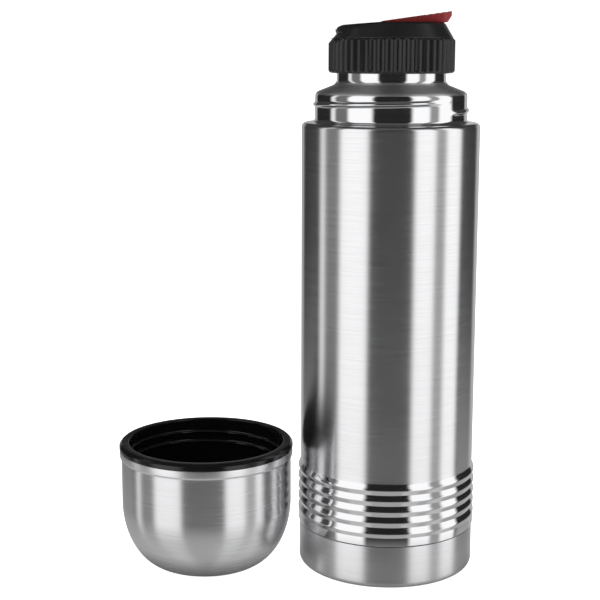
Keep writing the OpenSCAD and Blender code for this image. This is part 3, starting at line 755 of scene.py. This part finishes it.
def cup_thread(r, z, angle):
    """The liner's wall drawn in along its thread."""
    if abs(r - CUP_BORE) > 0.05:
        return r, z
    first = CUP_H - 5 - LINER_THREAD_TURNS * THREAD_PITCH
    last = 360 * LINER_THREAD_TURNS
    drawn = 0
    for lap in range(2):
        turn = math.degrees(angle) % 360 + 360 * lap
        height = smooth(0, 25, turn) * (1 - smooth(last - 25, last, turn))
        away = abs(z - first - THREAD_PITCH * turn / 360) / LINER_THREAD_HALF
        if away < 1:
            drawn = max(drawn, height * LINER_THREAD_OUT * (math.cos(math.pi * away) + 1) / 2)
    return r - drawn, z


def make_liner():
    """The cup's black inside, with its rim over the band and its thread."""
    rim = CUP_BAND_R + 0.1
    outer = [Vector((0, LINER_FOOT))] + dome(CUP_R - CUP_BORE - LINER_WALL, LINER_FOOT, 12)
    outer += outline([(CUP_BORE + LINER_WALL, BAND_Z - 3), (CUP_R - CUP_SHEET, BAND_Z - 1),
                      (CUP_R - CUP_SHEET, BAND_Z + 0.5), (CUP_BAND_R - 0.55, BAND_Z + 1),
                      (CUP_BAND_R - 0.55, RIM_Z), (rim - 0.2, RIM_Z), (rim, RIM_Z + 0.25, 0.2),
                      (rim, CUP_H - 1.2, 1), (CUP_BAND_R - 1.1, CUP_H, 0.5),
                      (CUP_BORE, CUP_H, 0.4), (CUP_BORE, CUP_H - 2)], 6)
    wall = divided([Vector((CUP_BORE, CUP_H - 2)), Vector((CUP_BORE, CUP_H - 16))], 0.25)
    inside = dome(CUP_R - CUP_BORE, LINER_FLOOR)[::-1] + [Vector((0, LINER_FLOOR))]
    path = outer + wall[1:] + [Vector((CUP_BORE - 0.06, CUP_H - 17))] + inside[1:]
    obj = piece("cup_black_liner", lathe(path, 256, (CUP_X, CUP_Y), cup_thread), 40)
    dress(obj, "cup", "gloss_black", BLACK_GLOSS, BLACK_RIM, replaces=["cup_liner"])
    for face in obj.data.polygons:
        r = math.hypot(face.center.x / MM - CUP_X, face.center.y / MM - CUP_Y)
        face.material_index = 1 if r > CUP_BORE + 0.3 and face.center.z / MM > BAND_Z else 0
    return obj


make_shell()
make_cap()
make_ring()
make_deck()
make_lever()
make_cup_shell()
make_liner()

# ---- CAD nodes that keep their shape ----

KEPT = {"inner_vessel": STEEL_SATIN, "vacuum_plate": STEEL_DRAWN, "radiation_shield": COPPER,
        "getter": SINTER, "exhaust_seal": GLASS_BEAD, "stopper_body": BLACK, "neck_gasket": SILICONE,
        "lever_pin": STEEL_DRAWN, "valve_cage": WHITE, "stem_seal": SILICONE, "valve_stem": STEEL_DRAWN,
        "valve_disc": BLACK, "valve_seal": SILICONE, "valve_spring": STEEL_DRAWN, "spring_collar": WHITE}
for name, material in KEPT.items():
    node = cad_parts[name]
    node.data.materials.clear()
    node.data.materials.append(material)

# ---- camera ----

camera = bpy.data.objects.new("camera", bpy.data.cameras.new("camera"))
bpy.context.scene.collection.objects.link(camera)
camera.location = CAMERA_AT
camera.rotation_euler = (math.radians(90 - CAMERA_PITCH), 0, math.radians(CAMERA_YAW))
camera.rotation_euler.rotate_axis("Z", math.radians(CAMERA_ROLL))
camera.data.sensor_width = 36
camera.data.lens = 81.1
camera.data.clip_end = 50
bpy.context.scene.camera = camera

# ---- studio: a pale floor and soft light panels round the object ----

# Bearing in degrees where each panel starts, from the side the camera is on, positive to its right,
# and its brightness
PANELS = ((-180, 0.42), (-148, 0.02), (-101, 0.95), (-91.5, 0.18), (-67, 1.2), (-27, 0.018), (32, 1.2),
          (60.5, 0.34), (76.5, 1.2), (102.5, 0.02), (145, 0.5))
PANEL_EDGE = 2.8
BRIGHTEST = 2.0
# Bearings between which the front of the room turns into its back
BACK_FROM = (math.radians(98), math.radians(116))
# Heights, as the sine of the elevation, between which the table, the ceiling and the dark top set in
TABLE_FROM = (-0.31, -0.55)
BACK_TABLE_RISE = 0.16
CEILING_FROM = (0.6, 0.8)
BACK_CEILING_FROM = (0.12, 0.3)
TOP_FROM = (0.74, 0.86)
TABLE_LIGHT = 0.4
TABLE_BOUNCE = 0.14
CEILING_LIGHT = 0.1
BACK_CEILING = 0.05
TOP_LIGHT = 0.02
ROOM_LIGHT = 1.12
# The floor, in metres: half its side, how far it lies under the base, and how far its shade reaches
FLOOR_HALF = 12
FLOOR_GAP = 0.0002
SHADE_REACH = 0.012


def make_world():
    """Glossy rays see panels between a table and a ceiling, and all other rays see an even room."""
    world = bpy.data.worlds.new("studio")
    world.use_nodes = True
    bpy.context.scene.world = world
    world.cycles.sampling_method = "NONE"
    n = Nodes(world.node_tree)
    turn = n.add("VectorRotate", {"Vector": n.add("TexCoord").outputs["Generated"],
                                  "Angle": math.radians(-CAMERA_BEARING)}, rotation_type="Z_AXIS")
    x, y, z = n.add("SeparateXYZ", {0: turn.outputs[0]}).outputs
    bearing = n.math("ARCTAN2", x, n.math("MULTIPLY", y, -1.0))
    round_way = n.math("MULTIPLY_ADD", bearing, 1 / TAU, 0.5)
    ramp = n.add("ValToRGB", {0: round_way})
    stops = []
    for i, (start, light) in enumerate(PANELS):
        before = PANELS[i - 1][1]
        if i:
            stops.append(((start - PANEL_EDGE + 180) / 360, before))
        stops.append((max(0, (start + (PANEL_EDGE if i else 0) + 180) / 360), light))
    elements = ramp.color_ramp.elements
    elements.remove(elements[1])
    for k, (where, light) in enumerate(stops):
        stop = elements[0] if k == 0 else elements.new(where)
        stop.position = where
        stop.color = (light / BRIGHTEST,) * 3 + (1,)
    panels = n.math("MULTIPLY", ramp.outputs[0], BRIGHTEST)
    table = n.math("MULTIPLY_ADD", panels, TABLE_BOUNCE, TABLE_LIGHT)
    behind = n.step(n.math("ABSOLUTE", bearing), *BACK_FROM)
    low = n.step(n.math("SUBTRACT", z, n.math("MULTIPLY", behind, BACK_TABLE_RISE)), *TABLE_FROM)
    high = n.between(behind, n.step(z, *CEILING_FROM), n.step(z, *BACK_CEILING_FROM))
    back = n.between(n.step(z, *TOP_FROM), BACK_CEILING, TOP_LIGHT)
    ceiling = n.between(behind, CEILING_LIGHT, back)
    mirror = n.between(high, n.between(low, panels, table), ceiling)
    glossy = n.add("LightPath").outputs["Is Glossy Ray"]
    background = n.tree.nodes["Background"].inputs
    n.put(n.between(glossy, ROOM_LIGHT, mirror), background["Strength"])
    n.put((1, 1, 1, 1), background["Color"])


def make_floor():
    """White paper, which the steel sees only as the shade that the pieces throw on it."""
    bm = bmesh.new()
    bmesh.ops.create_grid(bm, x_segments=1, y_segments=1, size=FLOOR_HALF)
    floor = piece("floor", bm)
    n = Finish("floor_paper", Roughness=0.9, Specular_IOR_Level=0.0, Emission_Color=(1, 1, 1, 1),
              Emission_Strength=0.9)
    specks = n.noise(n.add("TexCoord").outputs["Object"], 400.0)
    n.set("Base Color", n.blend(specks, (0.9, 0.9, 0.9, 1), (0.93, 0.93, 0.93, 1)))
    open_air = n.add("AmbientOcclusion", {"Distance": SHADE_REACH}, samples=4).outputs["AO"]
    shade_seen = n.add("MixShader", {0: open_air, 1: n.add("Emission", {0: (0, 0, 0, 1)}).outputs[0],
                                     2: n.add("BsdfTransparent").outputs[0]})
    seen = n.add("MixShader", {0: n.add("LightPath").outputs["Is Glossy Ray"], 1: n.shader.outputs[0],
                               2: shade_seen.outputs[0]})
    n.put(seen.outputs[0], n.tree.nodes["Material Output"].inputs["Surface"])
    floor.data.materials.append(n.material)
    floor.location.z = -FLOOR_GAP


make_world()
make_floor()
bpy.context.scene.view_settings.view_transform = "Standard"
